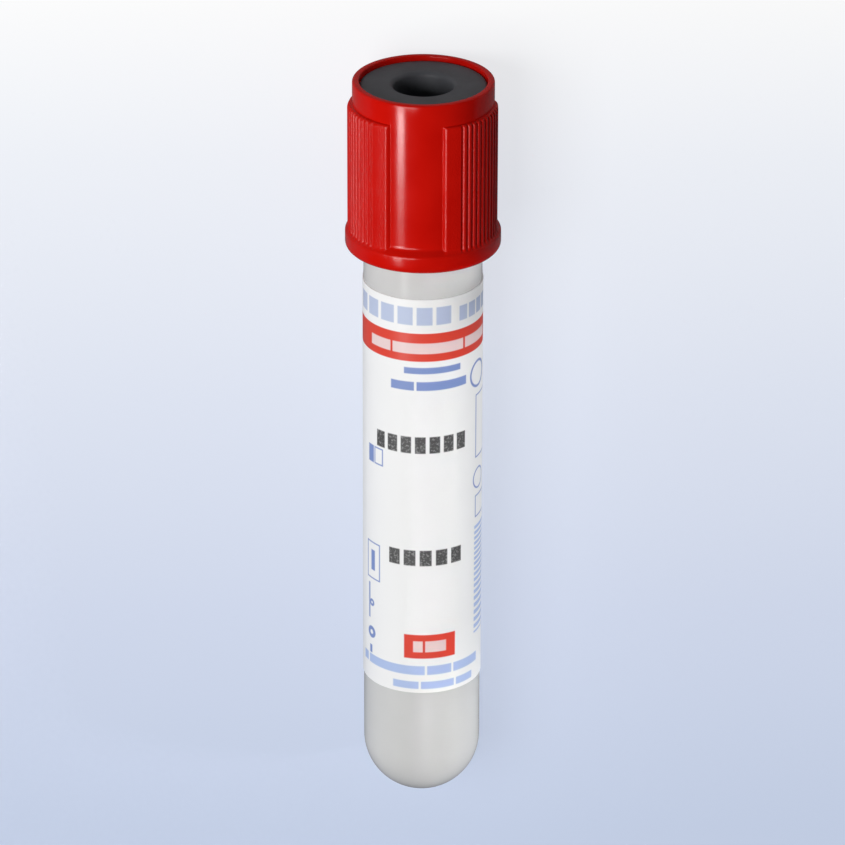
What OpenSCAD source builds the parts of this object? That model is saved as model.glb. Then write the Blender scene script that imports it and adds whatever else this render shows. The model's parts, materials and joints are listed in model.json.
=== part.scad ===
// Blood collection tube: a round-bottomed plastic tube with a paper label, closed by a rubber
// stopper in a pull-off cap. Millimetres.
// Every piece is drawn upright, with the tube's axis on Z and its round end at height 0.
// lie_down() then lays it as it comes to rest: on its round end and on the cap's flange,
// along Y with the cap at +Y, its front side up and the floor at height 0.

/* [Tube] */
// Outer diameter of the tube
tube_d = 13; // [10:0.5:18]
// Length of the tube, from its round end to its rim
tube_l = 75; // [60:1:110]
// Wall thickness of the tube
tube_wall = 1; // [0.6:0.1:1.5]
// Rounding of the rim's two edges
rim_round = 0.35; // [0.1:0.05:0.45]

/* [Label] */
// Thickness of the label's paper
label_t = 0.1; // [0.05:0.01:0.12]
// Height of the label's lower edge above the round end
label_low = 14.8; // [12:0.1:25]
// Bare tube between the label and the cap
label_to_cap = 3.8; // [1:0.1:10]
// Width of the viewing gap between the label's two ends, in degrees round the tube
label_gap = 40; // [10:1:120]

/* [Stopper] */
// Length of the plug inside the tube
plug_l = 7.5; // [4:0.1:12]
// Gap between the plug and the tube's bore, on the radius
plug_gap = 0.03; // [0.02:0.01:0.08]
// Bevel at the plug's lower end
plug_bevel = 0.6; // [0.2:0.1:1]
// Diameter of the hollow under the plug
hollow_d = 6.2; // [3:0.1:7]
// Height of the hollow under the plug
hollow_h = 5; // [2:0.1:7]
// Thickness of the shoulder that sits on the tube's rim
shoulder_t = 2.2; // [1:0.1:4]
// Height of the groove that the cap's inner ring holds
groove_h = 1.5; // [1:0.1:3]
// Depth of that groove below the shoulder
groove_depth = 0.9; // [0.4:0.1:1.5]
// Height of the head above the groove
head_h = 6.6; // [6:0.1:12]
// How far the head stands out past the tube's outside
head_out = 0.4; // [0.2:0.1:1]
// Rounding of the head's upper edge
head_round = 0.3; // [0.1:0.05:0.6]
// Diameter of the needle well in the top
well_d = 6.5; // [3:0.1:7]
// Depth of the needle well
well_depth = 7; // [4:0.1:9]
// Rounding of the needle well's mouth
well_round = 0.5; // [0.1:0.05:1]

/* [Cap] */
// Gap between the cap and the stopper
cap_gap = 0.05; // [0.03:0.01:0.1]
// Gap between the cap's skirt and the tube, on the radius
skirt_gap = 0.25; // [0.1:0.05:0.4]
// How far the skirt reaches down past the tube's rim
skirt_l = 8.45; // [5:0.05:15]
// Wall of the cap round the stopper's head
cap_wall = 0.75; // [0.5:0.05:1.5]
// How far the cap's rim stands above the stopper
cap_rim = 0.5; // [0.2:0.1:1.5]
// Rounding of the rim's edges
cap_round = 0.25; // [0.1:0.05:0.3]
// How far the flange at the lower end stands out from the wall
flange_out = 0.8; // [0.65:0.05:2]
// Height of the flange
flange_h = 2.15; // [1.5:0.05:4]
// Rounding of the flange's lower edge
flange_low_round = 0.6; // [0.2:0.05:0.7]
// Rounding of the flange's upper edge
flange_top_round = 0.4; // [0.1:0.05:0.5]

/* [Grip pads] */
// Number of raised pads round the cap
pads = 3; // [2:1:3]
// Width of one pad, in degrees round the cap
pad_angle = 75; // [60:1:100]
// Direction of the first pad's middle, in degrees from the front towards +X
pad_from_front = 53; // [0:1:119]
// How far the pads stand out from the wall
pad_out = 0.55; // [0.4:0.05:0.6]
// Bare wall between the pads' upper end and the cap's rim
pad_to_rim = 2.3; // [1:0.1:5]
// Rounding of the pads' upper edge
pad_round = 0.3; // [0.1:0.05:0.4]
// Number of ribs on one pad
ribs = 10; // [4:1:11]
// Distance from rib to rib, in degrees round the cap
rib_pitch = 4.6; // [3:0.1:5]
// Depth of the valleys beside the ribs
rib_depth = 0.22; // [0.1:0.01:0.25]

/* [Hidden] */
$fn = 96;
overshoot = 1; // how far a cut runs past the surface that it opens

tube_r = tube_d / 2;
bore_r = tube_r - tube_wall;

// Heights and radii of the stopper
plug_r = bore_r - plug_gap;
plug_low = tube_l - plug_l;
groove_low = tube_l + shoulder_t;
head_low = groove_low + groove_h;
head_top = head_low + head_h;
groove_r = tube_r - groove_depth;
head_r = tube_r + head_out;

// Heights and radii of the cap
cap_low = tube_l - skirt_l;
cap_top = head_top + cap_rim;
skirt_bore_r = tube_r + skirt_gap;
head_bore_r = head_r + cap_gap;
wall_r = head_bore_r + cap_wall;
flange_r = wall_r + flange_out;
flange_top = cap_low + flange_h;
pad_r = wall_r + pad_out;
pad_top = cap_top - pad_to_rim;

label_top = cap_low - label_to_cap;

// The rest pose: the floor touches the round end's sphere and the flange's lower rounding
flange_reach = flange_r - flange_low_round;
flange_run = cap_low + flange_low_round - tube_r;
lean = atan2(flange_reach, flange_run)
     - asin((tube_r - flange_low_round) / norm([flange_reach, flange_run]));
y_low = tube_r * cos(lean) - tube_r;
y_high = (wall_r - cap_round) * sin(lean) + (cap_top - cap_round) * cos(lean) + cap_round;

module lie_down() {
    translate([0, -(y_low + y_high) / 2, tube_r * (1 - sin(lean))])
        rotate([lean - 90, 0, 0])
            children();
}

// What is cut off a profile's corner to round it: the corner is at [x, z] and points
// along [dx, dz], each 1 or -1
module corner_cut(x, z, r, dx, dz) {
    translate([x - dx * r, z - dz * r])
        scale([dx, dz])
            difference() {
                square(r + overshoot);
                circle(r);
            }
}

// Profile of a solid or hollow cylinder from radius r0 to r1 and height z0 to z1
module band(r0, r1, z0, z1) {
    translate([r0, z0])
        square([r1 - r0, z1 - z0]);
}

// Profile of a round-ended rod on the axis, with the end's centre at the tube's own
module round_end(r, top) {
    translate([0, tube_r])
        intersection() {
            circle(r);
            translate([0, -r])
                square([r, 2 * r]);
        }
    band(0, r, tube_r, top);
}

module tube() {
    color([0.82, 0.84, 0.86, 0.5])
        lie_down()
            rotate_extrude()
                difference() {
                    round_end(tube_r, tube_l);
                    round_end(bore_r, tube_l + overshoot);
                    corner_cut(tube_r, tube_l, rim_round, 1, 1);
                    corner_cut(bore_r, tube_l, rim_round, -1, 1);
                }
}

// The label, with the viewing gap at the back of the tube
module label() {
    color("white")
        lie_down()
            rotate([0, 0, 90 + label_gap / 2])
                rotate_extrude(angle = 360 - label_gap)
                    band(tube_r, tube_r + label_t, label_low, label_top);
}

// Triangle that bevels the plug's lower edge
module plug_bevel_cut() {
    polygon([
        [plug_r - plug_bevel, plug_low - overshoot],
        [plug_r + overshoot, plug_low - overshoot],
        [plug_r + overshoot, plug_low + plug_bevel + overshoot],
        [plug_r - plug_bevel - overshoot, plug_low - overshoot]
    ]);
}

module stopper() {
    color([0.23, 0.24, 0.26])
        lie_down()
            rotate_extrude()
                difference() {
                    union() {
                        band(0, plug_r, plug_low, tube_l);
                        band(0, tube_r, tube_l, groove_low);
                        band(0, groove_r, groove_low, head_low);
                        band(0, head_r, head_low, head_top);
                    }
                    plug_bevel_cut();
                    band(0, hollow_d / 2, plug_low - overshoot, plug_low + hollow_h);
                    band(0, well_d / 2, head_top - well_depth, head_top + overshoot);
                    corner_cut(well_d / 2, head_top, well_round, -1, 1);
                    corner_cut(head_r, head_top, head_round, 1, 1);
                }
}

// The cap's wall and flange, still solid
module cap_wall_profile() {
    difference() {
        union() {
            band(0, wall_r, cap_low, cap_top);
            band(0, flange_r, cap_low, flange_top);
        }
        corner_cut(wall_r, cap_top, cap_round, 1, 1);
        corner_cut(flange_r, cap_low, flange_low_round, 1, -1);
        corner_cut(flange_r, flange_top, flange_top_round, 1, 1);
    }
}

// The cap's bores: the skirt's round the tube, the inner ring's and the head's
module cap_bores_profile() {
    band(0, skirt_bore_r, cap_low - overshoot, groove_low + cap_gap);
    band(0, groove_r + cap_gap, cap_low, cap_top);
    band(0, head_bore_r, head_low - cap_gap, cap_top + overshoot);
    corner_cut(skirt_bore_r, cap_low, cap_round, -1, -1);
    corner_cut(head_bore_r, cap_top, cap_round, -1, 1);
}

// One raised pad, with its middle on +X
module pad() {
    rotate([0, 0, -pad_angle / 2])
        rotate_extrude(angle = pad_angle)
            difference() {
                band(wall_r - cap_wall / 2, pad_r, cap_low + flange_h / 2, pad_top);
                corner_cut(pad_r, pad_top, pad_round, 1, 1);
            }
}

// The valleys beside one pad's ribs, with the pad's middle on +X
module valleys() {
    side = rib_depth * sqrt(2);
    for (i = [0:ribs])
        rotate([0, 0, (i - ribs / 2) * rib_pitch])
            translate([pad_r, 0, flange_top])
                rotate([0, 0, 45])
                    translate([-side / 2, -side / 2, 0])
                        cube([side, side, pad_top - flange_top + overshoot]);
}

module on_each_pad() {
    for (i = [0:pads - 1])
        rotate([0, 0, pad_from_front - 90 + i * 360 / pads])
            children();
}

module cap() {
    color([0.78, 0.08, 0.04])
        lie_down()
            difference() {
                union() {
                    // turned half a facet, so that a mesh of the cap lies on a flat, not on an edge
                    rotate([0, 0, 180 / $fn])
                        rotate_extrude()
                            cap_wall_profile();
                    on_each_pad()
                        pad();
                }
                rotate_extrude()
                    cap_bores_profile();
                on_each_pad()
                    valleys();
            }
}

tube();
label();
stopper();
cap();
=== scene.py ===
"""Evacuated blood collection tube, lying at rest: a round-ended plastic tube with a wrap-round
label, closed by a dark rubber stopper that sits in a red cap with ribbed grip pads."""
import json
from math import atan2, ceil, cos, pi, radians, sin, tan

import bmesh
import bpy
from mathutils import Matrix, Vector


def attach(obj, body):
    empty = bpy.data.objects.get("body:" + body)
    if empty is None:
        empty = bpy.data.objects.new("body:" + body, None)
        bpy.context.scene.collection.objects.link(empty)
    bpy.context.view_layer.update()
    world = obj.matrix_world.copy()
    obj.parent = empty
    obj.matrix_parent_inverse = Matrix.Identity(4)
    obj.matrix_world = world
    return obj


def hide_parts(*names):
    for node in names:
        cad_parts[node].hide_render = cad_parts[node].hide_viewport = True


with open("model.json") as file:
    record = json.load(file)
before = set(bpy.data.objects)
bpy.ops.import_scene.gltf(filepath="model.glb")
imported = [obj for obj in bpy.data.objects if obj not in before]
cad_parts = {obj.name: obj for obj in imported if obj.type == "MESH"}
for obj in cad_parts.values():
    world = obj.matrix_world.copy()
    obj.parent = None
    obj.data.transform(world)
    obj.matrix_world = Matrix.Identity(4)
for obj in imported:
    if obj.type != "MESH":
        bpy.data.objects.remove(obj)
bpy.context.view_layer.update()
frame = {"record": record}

# --- Sizes, in millimetres ---
# The pieces are made upright, with the tube's axis on z, its round end at height 0 and its front
# facing -y. Turns about the axis are in degrees from the front, to the right.
MM = 0.001
ON_AXIS = 1e-6  # a radius under this counts as on the axis

TUBE_R = 6.5
TUBE_L = 75.0
BORE_R = TUBE_R - 1.0
RIM_ROUND = 0.35

PLUG_R = BORE_R - 0.03
PLUG_LOW = TUBE_L - 7.5
PLUG_BEVEL = 0.6
HOLLOW_R = 3.1
HOLLOW_TOP = PLUG_LOW + 5.0
GROOVE_R = TUBE_R - 0.9
GROOVE_LOW = TUBE_L + 2.2
HEAD_R = TUBE_R + 0.4
HEAD_LOW = GROOVE_LOW + 1.5
FACE = HEAD_LOW + 6.6
WELL_R = 3.25
WELL_FLOOR = FACE - 7.0

CAP_GAP = 0.05
CAP_LOW = TUBE_L - 8.45
CAP_TOP = FACE + 0.5
SKIRT_R = TUBE_R + 0.25
RING_R = GROOVE_R + CAP_GAP
SOCKET_R = HEAD_R + CAP_GAP
CAP_WALL_R = SOCKET_R + 0.75
FLANGE_R = CAP_WALL_R + 0.8
FLANGE_TOP = CAP_LOW + 2.15
PAD_TOP = CAP_TOP - 2.5
PAD_OUT = 0.55
PAD_ROUND = 0.45

LABEL_R = TUBE_R + 0.1
LABEL_LOW = 14.8
LABEL_TOP = CAP_LOW - 3.8
LABEL_H = LABEL_TOP - LABEL_LOW
LABEL_GAP = 40.0
DEGREES_A_MM = 360.0 / (2.0 * pi * LABEL_R)

# --- Where the upright tube lies in the shared frame ---
joints = {joint["name"]: joint for joint in frame["record"]["behaviour"]["joints"]}
ALONG = Vector(joints["closure_pull"]["axis"]).normalized()
FACE_CENTRE = Vector(joints["cap_twist"]["pos_m"])
ACROSS = Vector((1, 0, 0))
FRONT = ACROSS.cross(ALONG)


def on_axis(height):
    """The point on the lying tube's axis that is this height above its round end."""
    return FACE_CENTRE + ALONG * (height - FACE) * MM


def placed(origin, x_axis, y_axis, z_axis):
    """The transform that takes an object to this origin and these axes."""
    return Matrix.Translation(origin) @ Matrix((x_axis, y_axis, z_axis)).transposed().to_4x4()


LAID = placed(on_axis(0.0), ACROSS, -FRONT, ALONG)


# --- Node trees as expressions ---
def socket_of(sockets, key):
    """The socket with this index, identifier or name."""
    if isinstance(key, int):
        return sockets[key]
    return next(socket for socket in sockets if key in (socket.identifier, socket.name))


def by_math(operation, reflected=False):
    """A method that adds a Math node, with the value that it belongs to last where it is reflected."""
    def method(self, *others):
        values = (*others, self) if reflected else (self, *others)
        return self.graph.node("ShaderNodeMath", {"operation": operation}, dict(enumerate(values)))
    return method


class Value:
    """A number on a node's socket. Arithmetic on it adds the Math nodes that work it out."""

    def __init__(self, graph, socket):
        self.graph = graph
        self.socket = socket

    __add__ = by_math("ADD")
    __radd__ = by_math("ADD", reflected=True)
    __sub__ = by_math("SUBTRACT")
    __rsub__ = by_math("SUBTRACT", reflected=True)
    __mul__ = by_math("MULTIPLY")
    __rmul__ = by_math("MULTIPLY", reflected=True)
    __truediv__ = by_math("DIVIDE")
    __rtruediv__ = by_math("DIVIDE", reflected=True)
    __mod__ = by_math("FLOORED_MODULO")
    __abs__ = by_math("ABSOLUTE")
    __lt__ = by_math("LESS_THAN")
    __gt__ = by_math("GREATER_THAN")
    root = by_math("SQRT")
    nearest = by_math("ROUND")
    sine = by_math("SINE")
    cosine = by_math("COSINE")
    most = by_math("MAXIMUM")

    def ramp(self, start, end, low=0.0, high=1.0, smooth=False):
        """This value taken from start..end to low..high, and held there outside."""
        kind = "SMOOTHSTEP" if smooth else "LINEAR"
        return self.graph.node("ShaderNodeMapRange", {"interpolation_type": kind},
                               {0: self, 1: start, 2: end, 3: low, 4: high})

    def between(self, low, high, soft):
        """1 where this value lies from low to high, with edges soft wide."""
        return self.ramp(low - soft / 2, low + soft / 2) * self.ramp(high + soft / 2, high - soft / 2)


class Graph:
    """Builds one node tree, of a material, of the world or of geometry."""

    def __init__(self, tree):
        self.tree = tree

    def node(self, kind, settings=None, sockets=None, out=0):
        """Adds a node, first with its settings, then its sockets' values or links. Gives one output."""
        new = self.tree.nodes.new(kind)
        for name, value in (settings or {}).items():
            if name == "stops":
                self.set_stops(new.color_ramp.elements, value)
            else:
                setattr(new, name, value)
        for key, value in (sockets or {}).items():
            socket = socket_of(new.inputs, key)
            if isinstance(value, Value):
                self.tree.links.new(value.socket, socket)
            elif socket.type == "RGBA":
                socket.default_value = (*value, 1.0)
            else:
                socket.default_value = value
        return Value(self, socket_of(new.outputs, out)) if new.outputs else new

    def set_stops(self, ramp, stops):
        """Gives a colour ramp these (place, colour) stops."""
        while len(ramp) < len(stops):
            ramp.new(1.0)
        for stop, (place, colour) in zip(ramp, stops):
            stop.position = place
            stop.color = (*colour, 1.0)

    def other(self, value, out):
        """Another output of the node that gave this value."""
        return Value(self, socket_of(value.socket.node.outputs, out))

    def axes(self, vector):
        """A vector's x, from which other() gives its Y and Z."""
        return self.node("ShaderNodeSeparateXYZ", {}, {"Vector": vector})


class Finish(Graph):
    """A material under way, with the few patterns that several finishes share."""

    def __init__(self, name):
        self.material = bpy.data.materials.new(name)
        self.material.use_nodes = True
        super().__init__(self.material.node_tree)
        self.tree.nodes.clear()
        self.where = self.node("ShaderNodeTexCoord", out="Object")

    def noise(self, scale, detail=2.0, rough=0.5):
        """Noise with this many waves a metre."""
        return self.node("ShaderNodeTexNoise", {},
                         {"Vector": self.where, "Scale": scale, "Detail": detail, "Roughness": rough})

    def mix(self, share, one, other):
        """One colour, with this share of the other."""
        return self.node("ShaderNodeMix", {"data_type": "RGBA"},
                         {"Factor_Float": share, "A_Color": one, "B_Color": other}, out="Result_Color")

    def bump(self, height, strength, depth):
        """A normal with relief, its depth in metres."""
        return self.node("ShaderNodeBump", {}, {"Height": height, "Strength": strength, "Distance": depth})

    def surface(self, **sockets):
        """The finished material, with the Principled shader's sockets named as base_color and so on."""
        names = {key.replace("_", " ").title().replace("Ior", "IOR"): value for key, value in sockets.items()}
        return self.shown_as(self.node("ShaderNodeBsdfPrincipled", {}, names))

    def shown_as(self, shader):
        """The finished material, with this shader on its output."""
        self.node("ShaderNodeOutputMaterial", {}, {"Surface": shader})
        return self.material


# --- Turned shapes ---
def rounded(corners, steps=5):
    """A half-section through (radius, height, rounding) corners, with an arc at each rounded one."""
    out = [Vector(corners[0][:2])]
    for before, (r, z, size), after in zip(corners, corners[1:], corners[2:]):
        here = Vector((r, z))
        if not size:
            out.append(here)
            continue
        back = (Vector(before[:2]) - here).normalized()
        on = (Vector(after[:2]) - here).normalized()
        half = back.angle(on) / 2
        turn = pi - 2 * half
        centre = here + (back + on).normalized() * size / sin(half)
        start = here + back * size / tan(half) - centre
        end = here + on * size / tan(half) - centre
        for k in range(steps + 1):
            t = k / steps
            out.append(centre + (start * sin((1 - t) * turn) + end * sin(t * turn)) / sin(turn))
    return out + [Vector(corners[-1][:2])]


def arc(centre_z, radius, low, high, steps):
    """Points of an arc about the axis, from one angle above the round end's pole to another."""
    angles = [radians(low + (high - low) * k / steps) for k in range(steps + 1)]
    return [Vector((radius * sin(a), centre_z - radius * cos(a))) for a in angles]


def divided(points, longest):
    """The same section with its long straight runs cut into even lengths."""
    out = [points[0]]
    for a, b in zip(points, points[1:]):
        cuts = max(1, ceil((b - a).length / longest - 0.001))
        out += [a.lerp(b, k / cuts) for k in range(1, cuts + 1)]
    return out


def closed_up(mesh, crease=32):
    """Merges a mesh's doubles, turns its faces outwards and shades it smooth but for creases sharper
    than so many degrees."""
    bm = bmesh.new()
    bm.from_mesh(mesh)
    bmesh.ops.remove_doubles(bm, verts=bm.verts, dist=1e-6)
    bmesh.ops.dissolve_degenerate(bm, edges=bm.edges, dist=1e-7)
    bmesh.ops.recalc_face_normals(bm, faces=bm.faces)
    bm.to_mesh(mesh)
    bm.free()
    mesh.shade_smooth()
    mesh.set_sharp_from_angle(angle=radians(crease))


def turned(name, section, columns=192, start=-180.0, sweep=360.0, loop=False):
    """A body turned from a half-section. A section that isn't a loop begins and ends on the axis."""
    whole = sweep >= 360.0
    stations = columns if whole else columns + 1
    verts = []
    rings = []
    for r, z in section:
        if r < ON_AXIS:
            rings.append([len(verts)] * stations)
            verts.append((0.0, 0.0, z * MM))
            continue
        rings.append(range(len(verts), len(verts) + stations))
        for k in range(stations):
            a = radians(start + sweep * k / columns)
            verts.append((r * sin(a) * MM, -r * cos(a) * MM, z * MM))
    faces = []
    pairs = list(zip(rings, rings[1:])) + ([(rings[-1], rings[0])] if loop else [])
    for low, high in pairs:
        for k in range(columns):
            n = (k + 1) % stations
            face = [low[k], low[n], high[n], high[k]]
            face = [v for i, v in enumerate(face) if v != face[i - 1]]
            if len(face) > 2:
                faces.append(face)
    if not whole:
        faces += [[ring[0] for ring in rings], [ring[-1] for ring in reversed(rings)]]
    mesh = bpy.data.meshes.new(name)
    mesh.from_pydata(verts, [], faces)
    closed_up(mesh)
    return mesh


def in_scene(name, data):
    """A new object of this data, in the scene."""
    obj = bpy.data.objects.new(name, data)
    bpy.context.scene.collection.objects.link(obj)
    return obj


def piece(name, mesh, material, body, node):
    """The finished piece, laid in place, riding with its body in the CAD node's stead."""
    mesh.transform(LAID)
    mesh.materials.clear()
    mesh.materials.append(material)
    obj = in_scene(name, mesh)
    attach(obj, body)
    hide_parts(node)


# --- Finishes ---
def red_plastic():
    """Glossy moulded plastic with a faint flow pattern and a fine mould grain, matt on the grip pads."""
    f = Finish("red cap plastic")
    grip = f.node("ShaderNodeAttribute", {"attribute_name": "grip"}, out="Fac")
    flow = f.noise(260.0, detail=3.0)
    grain = f.noise(9000.0)
    etching = f.noise(5400.0, rough=0.6) * grip
    colour = f.mix(flow.ramp(0.3, 0.7), (0.56, 0.0040, 0.0012), (0.61, 0.0055, 0.0020))
    height = f.noise(700.0) * 0.6 + grain * 0.4 + etching * 8.0
    return f.surface(base_color=colour,
                     roughness=0.09 + 0.08 * flow + 0.05 * grain + 0.09 * grip,
                     specular_ior_level=0.2,
                     normal=f.bump(height, 0.25, 0.00003))


def dark_rubber():
    """Satin rubber, with the faint bloom and specks that a moulded stopper has."""
    f = Finish("grey stopper rubber")
    bloom = f.noise(350.0, detail=3.0)
    specks = f.noise(5200.0, rough=0.6)
    colour = f.mix(bloom.ramp(0.3, 0.75), (0.078, 0.080, 0.090), (0.100, 0.103, 0.115))
    return f.surface(base_color=colour,
                     roughness=0.5 + 0.14 * specks,
                     specular_ior_level=0.5,
                     normal=f.bump(specks * 0.5 + bloom * 0.5, 0.3, 0.00004))


def milky_plastic():
    """Clear plastic, clouded by its inner coating."""
    f = Finish("milky tube plastic")
    cloud = f.noise(120.0, detail=3.0)
    colour = f.mix(cloud.ramp(0.3, 0.7), (0.86, 0.86, 0.85), (0.90, 0.90, 0.89))
    return f.surface(base_color=colour,
                     roughness=0.12 + 0.08 * cloud,
                     transmission_weight=0.35,
                     ior=1.46,
                     specular_ior_level=0.2,
                     normal=f.bump(f.noise(900.0), 0.1, 0.00003))


def joined(*masks):
    """1 wherever one of these masks is 1."""
    total = masks[0]
    for mask in masks[1:]:
        total = total.most(mask)
    return total


class Ink:
    """Masks of the shapes that are printed on the label. A shape is placed by the turns of its left and
    right side, and by the heights of its lower and upper side."""

    def __init__(self, finish):
        across = finish.axes(finish.node("ShaderNodeUVMap", {"uv_map": "UVMap"}))
        self.turn = across * 360.0 - 180.0
        self.height = finish.other(across, "Y") * LABEL_H + LABEL_LOW

    def box(self, left, right, low, high, soft=0.12):
        """A plain box."""
        return self.turn.between(left, right, soft * DEGREES_A_MM) * self.height.between(low, high, soft)

    def outline(self, left, right, low, high):
        """An empty box in a thin line."""
        line = 0.16
        side = line * DEGREES_A_MM
        return self.box(left, right, low, high) - self.box(left + side, right - side, low + line, high - line)

    def bar(self, left, right, low, high, *gaps):
        """A plain bar in place of a line of words, with a gap after each word."""
        mask = self.box(left, right, low, high)
        for gap in gaps:
            mask = mask * (1.0 - self.turn.between(gap - 1.2, gap + 1.2, 0.8))
        return mask

    def blocks(self, left, right, low, high, count, share=0.74):
        """A row of even blocks, as stamped figures would be spaced."""
        pitch = (right - left) / (count - 1 + share)
        step = abs(((self.turn - left) / pitch - share / 2 + 0.5) % 1.0 - 0.5)
        return self.box(left, right, low, high) * step.ramp(share / 2 + 0.03, share / 2 - 0.03)

    def ring(self, turn, height, radius, line=0.2):
        """A ring round this place."""
        x = (self.turn - turn) / DEGREES_A_MM
        y = self.height - height
        return abs((x * x + y * y).root() - radius).ramp(line / 2 + 0.06, line / 2 - 0.06)

    def red(self):
        """The band under the heading and the box near the lower edge."""
        return joined(self.height.between(55.43, 58.77, 0.1), self.box(-17.6, 33.9, 19.1, 22.05))

    def paper_in_red(self):
        """The pale bars that the red is printed round."""
        return joined(self.bar(-57.0, 82.0, 56.35, 57.6, -31.0, 43.0),
                      self.bar(-8.5, 24.0, 19.9, 21.25, 2.0))

    def heading(self):
        """The two groups of blocks over the band."""
        return joined(self.blocks(-81.0, 28.0, 59.75, 61.85, 6, 0.8),
                      self.blocks(37.0, 84.0, 59.75, 61.5, 4, 0.8))

    def blue(self):
        """The two bars under the band, and the marks down the left and the right side."""
        bars = (self.bar(-18.0, 38.5, 53.95, 54.7), self.bar(-31.5, 46.0, 51.95, 53.0, -7.0))
        left = (self.box(-62.5, -54.0, 42.0, 44.1), self.outline(-53.0, -41.0, 42.0, 44.1),
                self.outline(-65.7, -45.0, 27.6, 32.2), self.box(-58.5, -52.5, 28.7, 31.2),
                self.box(-63.0, -60.6, 22.6, 27.0), self.ring(-57.5, 24.6, 0.3, 0.3),
                self.ring(-58.0, 20.9, 0.5, 0.45), self.box(-61.0, -57.0, 18.3, 19.3))
        right = (self.ring(66.0, 52.4, 1.5, 0.3), self.outline(62.0, 96.0, 42.2, 49.9),
                 self.ring(69.0, 39.6, 1.2), self.outline(62.0, 96.0, 34.9, 37.6))
        return joined(*bars, *left, *right)

    def pale_blue(self):
        """The stripes at the right, the bars along the lower edge and the writing lines at the back."""
        uneven = (self.height * 1.37 + (self.height * 0.41).sine() * 0.6) % 1.0
        stripes = uneven.ramp(0.40, 0.46) * self.box(61.0, 98.0, 20.6, 34.0)
        bars = (self.bar(-73.0, 66.0, 17.05, 18.15, -63.0, 4.0, 31.0),
                self.bar(-29.0, 57.0, 15.3, 16.2, -2.0, 34.0))
        lines = (self.box(104.0, 150.0, height, height + 0.15, 0.06) for height in (47.9, 40.9, 33.9))
        return joined(stripes, *bars, *lines)

    def stamps(self):
        """The two rows of blocks that are stamped in black."""
        return joined(self.blocks(-49.2, 45.1, 44.35, 46.35, 7),
                      self.blocks(-33.7, 40.6, 30.6, 32.5, 5))


def label_paper():
    """White coated paper with a red band and plain blue and black marks in place of any wording."""
    f = Finish("printed label paper")
    ink = Ink(f)
    red = ink.red()
    worn = f.noise(3800.0, rough=0.6).ramp(0.28, 0.5, 0.72, 1.0)
    colour = f.mix(f.noise(90.0).ramp(0.3, 0.7), (0.90, 0.90, 0.895), (0.925, 0.925, 0.92))
    colour = f.mix(ink.pale_blue() * 0.62, colour, (0.16, 0.34, 0.78))
    colour = f.mix(ink.heading() * 0.5, colour, (0.10, 0.24, 0.60))
    colour = f.mix(ink.blue() * 0.8, colour, (0.045, 0.15, 0.52))
    colour = f.mix(red, colour, (0.75, 0.062, 0.038))
    colour = f.mix(ink.paper_in_red() * 0.72, colour, (0.90, 0.90, 0.895))
    colour = f.mix(ink.stamps() * worn * 0.93, colour, (0.018, 0.017, 0.018))
    fibres = f.noise(2600.0, detail=3.0, rough=0.6)
    return f.surface(base_color=colour,
                     roughness=0.42 + 0.1 * fibres - 0.1 * red,
                     specular_ior_level=0.35,
                     normal=f.bump(fibres, 0.12, 0.00002))


# --- The cap: a section swept round the axis, with raised pads and their ribs ---
# Angles are in degrees and lengths in metres. Valley Edge and Valley Floor say where a valley begins
# and where it reaches its depth, in shares of the rib pitch from the valley's middle.
RIBS_IN_A_TURN = 78
CAP_SIZES = {
    "Columns": 14 * RIBS_IN_A_TURN,
    "Wall Radius": CAP_WALL_R * MM,
    "Pads": 3,
    "First Pad": 54.4,
    "Pad Angle": 73.5,
    "Pad Side": 3.4,
    "Pad Height": PAD_OUT * MM,
    "Edge Height": 0.35 * MM,
    "Ribs": 10,
    "Rib Pitch": 360.0 / RIBS_IN_A_TURN,
    "Rib Depth": 0.17 * MM,
    "Valley Edge": 0.32,
    "Valley Floor": 0.07,
}


def cap_section():
    """The cap's half-section as (radius, height, rise) rows, from inside the skirt round to there again.
    Rise is the pads' share of their full height there, and below 0 where no pad can be."""
    full, bare = 1.0, -1.0
    seam = TUBE_L - 5.0
    belt = (CAP_LOW + FLANGE_TOP) / 2

    def rows(rise, longest, *corners):
        """Rows through these (radius, height, rounding) corners, with no run longer than this."""
        return [(point.x, point.y, rise) for point in divided(rounded(corners), longest)]

    skirt = rows(bare, 1.2, (SKIRT_R, seam, 0), (SKIRT_R, CAP_LOW, 0.25), (FLANGE_R, CAP_LOW, 0.6),
                 (FLANGE_R, belt, 0))
    flange = rows(full, 9.0, (FLANGE_R, belt, 0), (FLANGE_R, FLANGE_TOP - 0.2, 0.4),
                  (CAP_WALL_R, FLANGE_TOP + 0.4, 0.5), (CAP_WALL_R, FLANGE_TOP + 0.8, 0))[1:]
    wall = rows(full, 1.1, (CAP_WALL_R, FLANGE_TOP + 1.1, 0), (CAP_WALL_R, PAD_TOP - PAD_ROUND, 0))
    edge = []
    for degrees in range(15, 91, 15):
        drop = PAD_ROUND * (1 - cos(radians(degrees)))
        height = PAD_TOP - PAD_ROUND * (1 - sin(radians(degrees)))
        edge.append((CAP_WALL_R, height, full - drop / PAD_OUT))
    collar = [(CAP_WALL_R, PAD_TOP + 0.02, 0.0), (CAP_WALL_R, PAD_TOP + 0.65, bare)]
    ring_top = HEAD_LOW - CAP_GAP
    ring_low = GROOVE_LOW + CAP_GAP
    inside = rows(bare, 3.0, (CAP_WALL_R, PAD_TOP + 1.1, 0), (CAP_WALL_R, CAP_TOP, 0.25),
                  (SOCKET_R, CAP_TOP, 0.14), (SOCKET_R, ring_top, 0), (RING_R, ring_top, 0.1),
                  (RING_R, ring_low, 0.1), (SKIRT_R, ring_low, 0), (SKIRT_R, seam, 0))
    return skirt + flange + wall + edge + collar + inside


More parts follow.
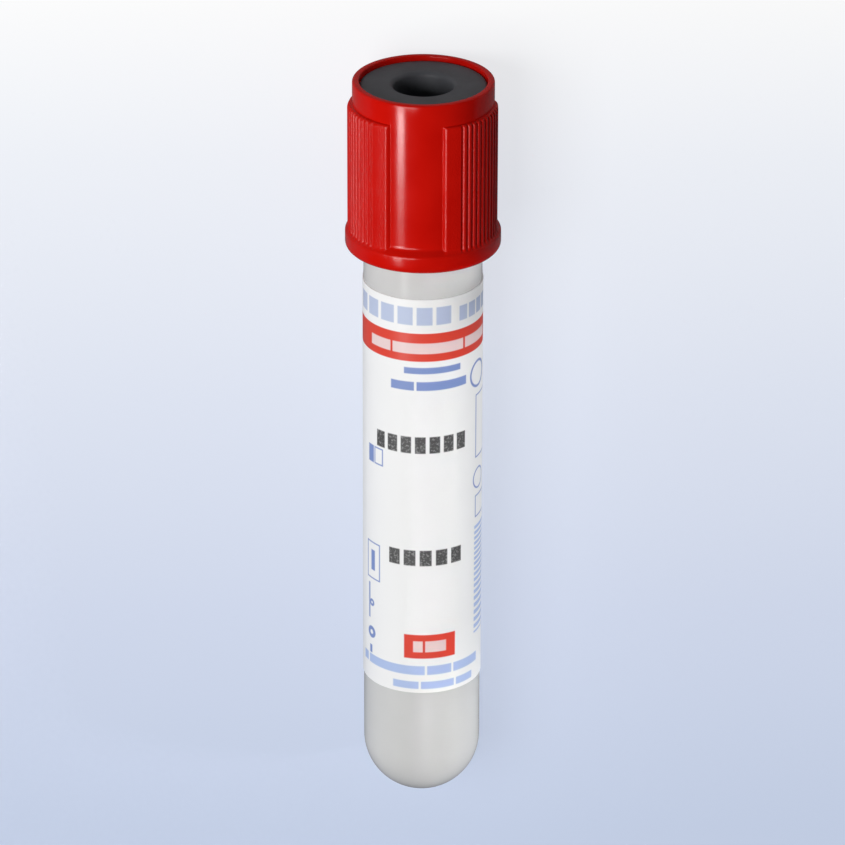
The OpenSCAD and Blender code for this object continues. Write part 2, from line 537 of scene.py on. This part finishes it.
def pad_relief(size, turn):
    """How far the nearest pad stands out at this turn, and how deep the valleys beside its ribs are."""
    share = 360.0 / size["Pads"]
    off = (turn - size["First Pad"] + share / 2.0) % share - share / 2.0
    away = abs(off)
    end = size["Pad Angle"] / 2.0
    side = size["Pad Side"] / 2.0
    crown = away.ramp(end, end / 2.0, size["Edge Height"], size["Pad Height"], smooth=True)
    climb = away.ramp(end + side, end - side)
    ribs = size["Ribs"] / 2.0 + 0.5
    valley = abs((off / size["Rib Pitch"] + ribs) % 1.0 - 0.5)
    valley = valley.ramp(size["Valley Edge"], size["Valley Floor"], smooth=True)
    return climb * (2.0 - climb) * crown, valley * (away < ribs * size["Rib Pitch"]) * size["Rib Depth"]


def cap_tree():
    """Sweeps the section that it is given round the axis, and raises the grip pads with their ribs."""
    tree = bpy.data.node_groups.new("ribbed cap", "GeometryNodeTree")
    kinds = {name: "Int" if isinstance(value, int) else "Float" for name, value in CAP_SIZES.items()}
    kinds = {"Section": "Geometry", **kinds, "Material": "Material"}
    for name, kind in kinds.items():
        tree.interface.new_socket(name, in_out="INPUT", socket_type="NodeSocket" + kind)
    tree.interface.new_socket("Cap", in_out="OUTPUT", socket_type="NodeSocketGeometry")
    g = Graph(tree)
    given = g.node("NodeGroupInput")
    size = {name: g.other(given, name) for name in kinds}

    # A flat sheet, with a column for each step of the turn and a row for each point of the section
    rows = g.node("GeometryNodeAttributeDomainSize", {}, {"Geometry": size["Section"]})
    sheet = g.node("GeometryNodeMeshGrid", {}, {
        "Size X": size["Columns"], "Size Y": rows - 1.0,
        "Vertices X": size["Columns"] + 1.0, "Vertices Y": rows})
    position = g.node("GeometryNodeInputPosition")
    spot = g.axes(position)
    turn = spot / size["Columns"] * 360.0
    row = (g.other(spot, "Y") + (rows - 1.0) / 2.0).nearest()

    def at_row(kind, value):
        """What this value is at the row's point of the section."""
        return g.node("GeometryNodeSampleIndex", {"data_type": kind},
                      {"Geometry": size["Section"], "Value": value, "Index": row})

    place = g.axes(at_row("FLOAT_VECTOR", position))
    rises = g.node("GeometryNodeInputNamedAttribute", {"data_type": "FLOAT"}, {"Name": "rise"})
    rise = at_row("FLOAT", rises)
    relief, valley = pad_relief(size, turn)
    padded = (rise > -0.5) * (size["Wall Radius"] + rise.most(0.0) * (relief - valley))
    radius = place.most(padded)
    angle = turn * (pi / 180.0)
    point = g.node("ShaderNodeCombineXYZ", {}, {
        "X": radius * angle.sine(), "Y": radius * angle.cosine() * -1.0, "Z": g.other(place, "Z")})

    marked = g.node("GeometryNodeStoreNamedAttribute", {"data_type": "FLOAT", "domain": "POINT"}, {
        "Geometry": sheet, "Name": "grip", "Value": (rise > 0.5) * relief / size["Pad Height"]})
    swept = g.node("GeometryNodeSetPosition", {}, {"Geometry": marked, "Position": point})
    merged = g.node("GeometryNodeMergeByDistance", {}, {"Geometry": swept, "Distance": 1.5e-6})
    real = g.node("GeometryNodeRealizeInstances", {}, {"Geometry": merged})
    finished = g.node("GeometryNodeSetMaterial", {}, {"Geometry": real, "Material": size["Material"]})
    g.node("NodeGroupOutput", {}, {"Cap": finished})
    return tree


def made_by(tree, mesh, inputs):
    """The plain mesh that a tree makes of a mesh, with its inputs set by their names."""
    obj = in_scene(tree.name, mesh)
    maker = obj.modifiers.new(tree.name, "NODES")
    maker.node_group = tree
    for item in tree.interface.items_tree:
        if item.in_out == "INPUT" and item.name in inputs:
            maker[item.identifier] = inputs[item.name]
    bpy.context.view_layer.update()
    made = bpy.data.meshes.new_from_object(obj.evaluated_get(bpy.context.evaluated_depsgraph_get()))
    bpy.data.objects.remove(obj)
    return made


# --- The four pieces ---
def cap():
    """The red cap: skirt, flange, ribbed pads and the inner ring that holds the stopper."""
    red = red_plastic()
    section = cap_section()
    wire = bpy.data.meshes.new("cap section")
    points = [(r * MM, 0.0, z * MM) for r, z, _ in section]
    wire.from_pydata(points, [(k, k + 1) for k in range(len(section) - 1)], [])
    rises = wire.attributes.new("rise", "FLOAT", "POINT")
    rises.data.foreach_set("value", [rise for _, _, rise in section])
    mesh = made_by(cap_tree(), wire, {**CAP_SIZES, "Material": red})
    closed_up(mesh, crease=44)
    piece("grip_cap", mesh, red, "cap", "cap")


def stopper():
    """The rubber stopper: hollow plug, shoulder on the tube's rim, groove, and head with its needle well."""
    section = rounded([
        (0, HOLLOW_TOP, 0), (HOLLOW_R, HOLLOW_TOP, 0.5), (HOLLOW_R, PLUG_LOW, 0.25),
        (PLUG_R - PLUG_BEVEL, PLUG_LOW, 0.2), (PLUG_R, PLUG_LOW + PLUG_BEVEL, 0.3), (PLUG_R, TUBE_L, 0),
        (TUBE_R, TUBE_L, 0.15), (TUBE_R, GROOVE_LOW, 0.15), (GROOVE_R, GROOVE_LOW, 0.1),
        (GROOVE_R, HEAD_LOW, 0.1), (HEAD_R, HEAD_LOW, 0.15), (HEAD_R, FACE, 0.3), (WELL_R, FACE, 0.5),
        (WELL_R, WELL_FLOOR, 0.6), (0, WELL_FLOOR, 0)], steps=6)
    mesh = turned("rubber stopper", divided(section, 0.8))
    piece("rubber_stopper", mesh, dark_rubber(), "stopper", "stopper")


def tube():
    """The round-ended tube, with the small dimple that the mould's gate leaves in its end."""
    below_rim = TUBE_L - 5.0
    gate = [Vector((0, 0.16)), Vector((0.55, 0.17)), Vector((0.75, 0.13)), Vector((0.95, 0.08))]
    outside = arc(TUBE_R, TUBE_R, 10, 90, 26)
    rim = rounded([(TUBE_R, below_rim, 0), (TUBE_R, TUBE_L, RIM_ROUND), (BORE_R, TUBE_L, RIM_ROUND),
                   (BORE_R, below_rim, 0)])
    inside = arc(TUBE_R, BORE_R, 90, 0, 28)
    mesh = turned("round-ended tube", divided(gate + outside + rim + inside, 2.0))
    piece("round_end_tube", mesh, milky_plastic(), "tube", "tube")


def label():
    """The label, wrapped round the tube, with its two ends apart at the back. Its UV map goes a whole
    turn across, from the back, and from its lower to its upper edge."""
    corners = [(TUBE_R, LABEL_LOW), (LABEL_R, LABEL_LOW), (LABEL_R, LABEL_TOP), (TUBE_R, LABEL_TOP)]
    section = divided([Vector(corner) for corner in corners], 4.0)
    mesh = turned("wrap-round label", section, 256, LABEL_GAP / 2 - 180.0, 360.0 - LABEL_GAP, loop=True)
    uvs = mesh.uv_layers.new(name="UVMap")
    for loop in mesh.loops:
        x, y, z = mesh.vertices[loop.vertex_index].co
        uvs.data[loop.index].uv = (atan2(x, -y) / (2 * pi) + 0.5, (z / MM - LABEL_LOW) / LABEL_H)
    piece("wrap_label", mesh, label_paper(), "tube", "label")


# --- Studio ---
def floor():
    """A pale floor, whiter towards the cap's end, that shows its plain colour and keeps a soft shadow."""
    half, low = 1.5, -0.00001
    blue_end, white_end = -0.052, 0.058
    seen_plain, mirrored_plain, mirrored_dim = 0.82, 0.9, 0.88
    f = Finish("pale studio floor")
    y = f.other(f.axes(f.where), "Y")
    stops = [(0.0, (0.56, 0.635, 0.80)), (0.25, (0.64, 0.70, 0.85)), (0.5, (0.745, 0.79, 0.90)),
             (0.75, (0.87, 0.895, 0.95)), (0.93, (1.0, 1.0, 1.0)), (1.0, (1.0, 1.0, 1.0))]
    colour = f.node("ShaderNodeValToRGB", {"stops": stops}, {"Fac": y.ramp(blue_end, white_end)})
    seen = f.node("ShaderNodeLightPath", out="Is Camera Ray")
    mirrored = f.other(seen, "Is Glossy Ray")
    seen = seen.most(f.other(seen, "Is Transmission Ray"))
    share = (seen * seen_plain).most(mirrored * mirrored_plain)
    lit = f.node("ShaderNodeBsdfDiffuse", {}, {"Color": colour})
    plain = f.node("ShaderNodeEmission", {}, {"Color": colour, "Strength": 1.0 - mirrored_dim * mirrored})
    material = f.shown_as(f.node("ShaderNodeMixShader", {}, {0: share, 1: lit, 2: plain}))
    material.cycles.emission_sampling = "NONE"
    mesh = bpy.data.meshes.new("studio floor")
    corners = [(-half, -half, low), (half, -half, low), (half, half, low), (-half, half, low)]
    mesh.from_pydata(corners, [], [(0, 1, 2, 3)])
    mesh.materials.append(material)
    in_scene("studio_floor", mesh)


def softbox(name, towards, distance, size, power, aim, spread=180.0, shows="all"):
    """An area light of (width, length along the tube) in metres. It stands this far in the direction
    towards, from the height on the axis that it aims at. It shows in all that it lights, or only in
    the "sheen" or the "colour" of that."""
    lamp = bpy.data.lights.new(name, "AREA")
    lamp.shape = "RECTANGLE"
    lamp.size, lamp.size_y = size
    lamp.energy = power
    lamp.spread = radians(spread)
    obj = in_scene(name, lamp)
    obj.visible_diffuse = shows != "sheen"
    obj.visible_glossy = shows != "colour"
    back = Vector(towards).normalized()
    side = ALONG.cross(back).normalized()
    obj.matrix_world = placed(on_axis(aim) + back * distance, side, back.cross(side), back)


def lamps():
    """Narrow lamps for the bright strip down the cap and the glints, a wide one over the tube, and
    faint fills from the right."""
    key = (-0.53, -0.42, 0.73)
    softbox("strip key", key, 0.15, (0.025, 0.053), power=0.060, aim=111.3, shows="sheen")
    softbox("strip tail", key, 0.15, (0.025, 0.025), power=0.0062, aim=72.3, shows="sheen")
    softbox("strip glint", key, 0.148, (0.022, 0.003), power=0.0150, aim=90.9, shows="sheen")
    softbox("collar glint", key, 0.148, (0.022, 0.006), power=0.0080, aim=99.5, shows="sheen")
    softbox("round end glint", (0.14, -0.42, 0.89), 0.15, (0.016, 0.003), power=0.0050, aim=0.0,
            shows="sheen")
    softbox("overhead", (-0.45, 0.11, 0.87), 0.5, (0.3, 0.3), power=2.45, aim=36.0)
    softbox("side fill", (0.95, 0.0, 0.31), 0.15, (0.021, 0.072), power=0.0029, aim=25.0,
            spread=8.0, shows="colour")
    softbox("round end side fill", (1.0, 0.0, 0.05), 0.15, (0.021, 0.012), power=0.0003, aim=9.0,
            spread=8.0, shows="colour")
    softbox("neck fill", (0.9, 0.0, 0.43), 0.1, (0.012, 0.003), power=0.00007, aim=64.8,
            spread=3.0, shows="colour")


def studio_air():
    """The world: pale to the camera, and faint as a light."""
    world = bpy.data.worlds.new("studio air")
    bpy.context.scene.world = world
    world.use_nodes = True
    w = Graph(world.node_tree)
    w.tree.nodes.clear()
    dim = w.node("ShaderNodeBackground", {}, {"Color": (0.92, 0.95, 1.0), "Strength": 0.04})
    pale = w.node("ShaderNodeBackground", {}, {"Color": (0.90, 0.93, 1.0), "Strength": 1.0})
    seen = w.node("ShaderNodeLightPath", out="Is Camera Ray")
    shader = w.node("ShaderNodeMixShader", {}, {0: seen, 1: dim, 2: pale})
    w.node("ShaderNodeOutputWorld", {}, {"Surface": shader})


def camera():
    """Looks at the middle of the tube from its front, 25 degrees towards the cap's end."""
    aim = 45.06
    rise = radians(25.15)
    away = 0.654
    roll = Matrix.Rotation(radians(0.16), 4, "Z")
    back = FRONT * cos(rise) + ALONG * sin(rise)
    up = ALONG * cos(rise) - FRONT * sin(rise)
    data = bpy.data.cameras.new("camera")
    data.sensor_width = 36.0
    data.lens = 252.2
    data.clip_start = 0.05
    data.clip_end = 20.0
    obj = in_scene("camera", data)
    obj.matrix_world = placed(on_axis(aim) + back * away, ACROSS, up, back) @ roll
    bpy.context.scene.camera = obj


cap()
stopper()
tube()
label()
floor()
lamps()
studio_air()
camera()
bpy.context.scene.view_settings.view_transform = "Standard"
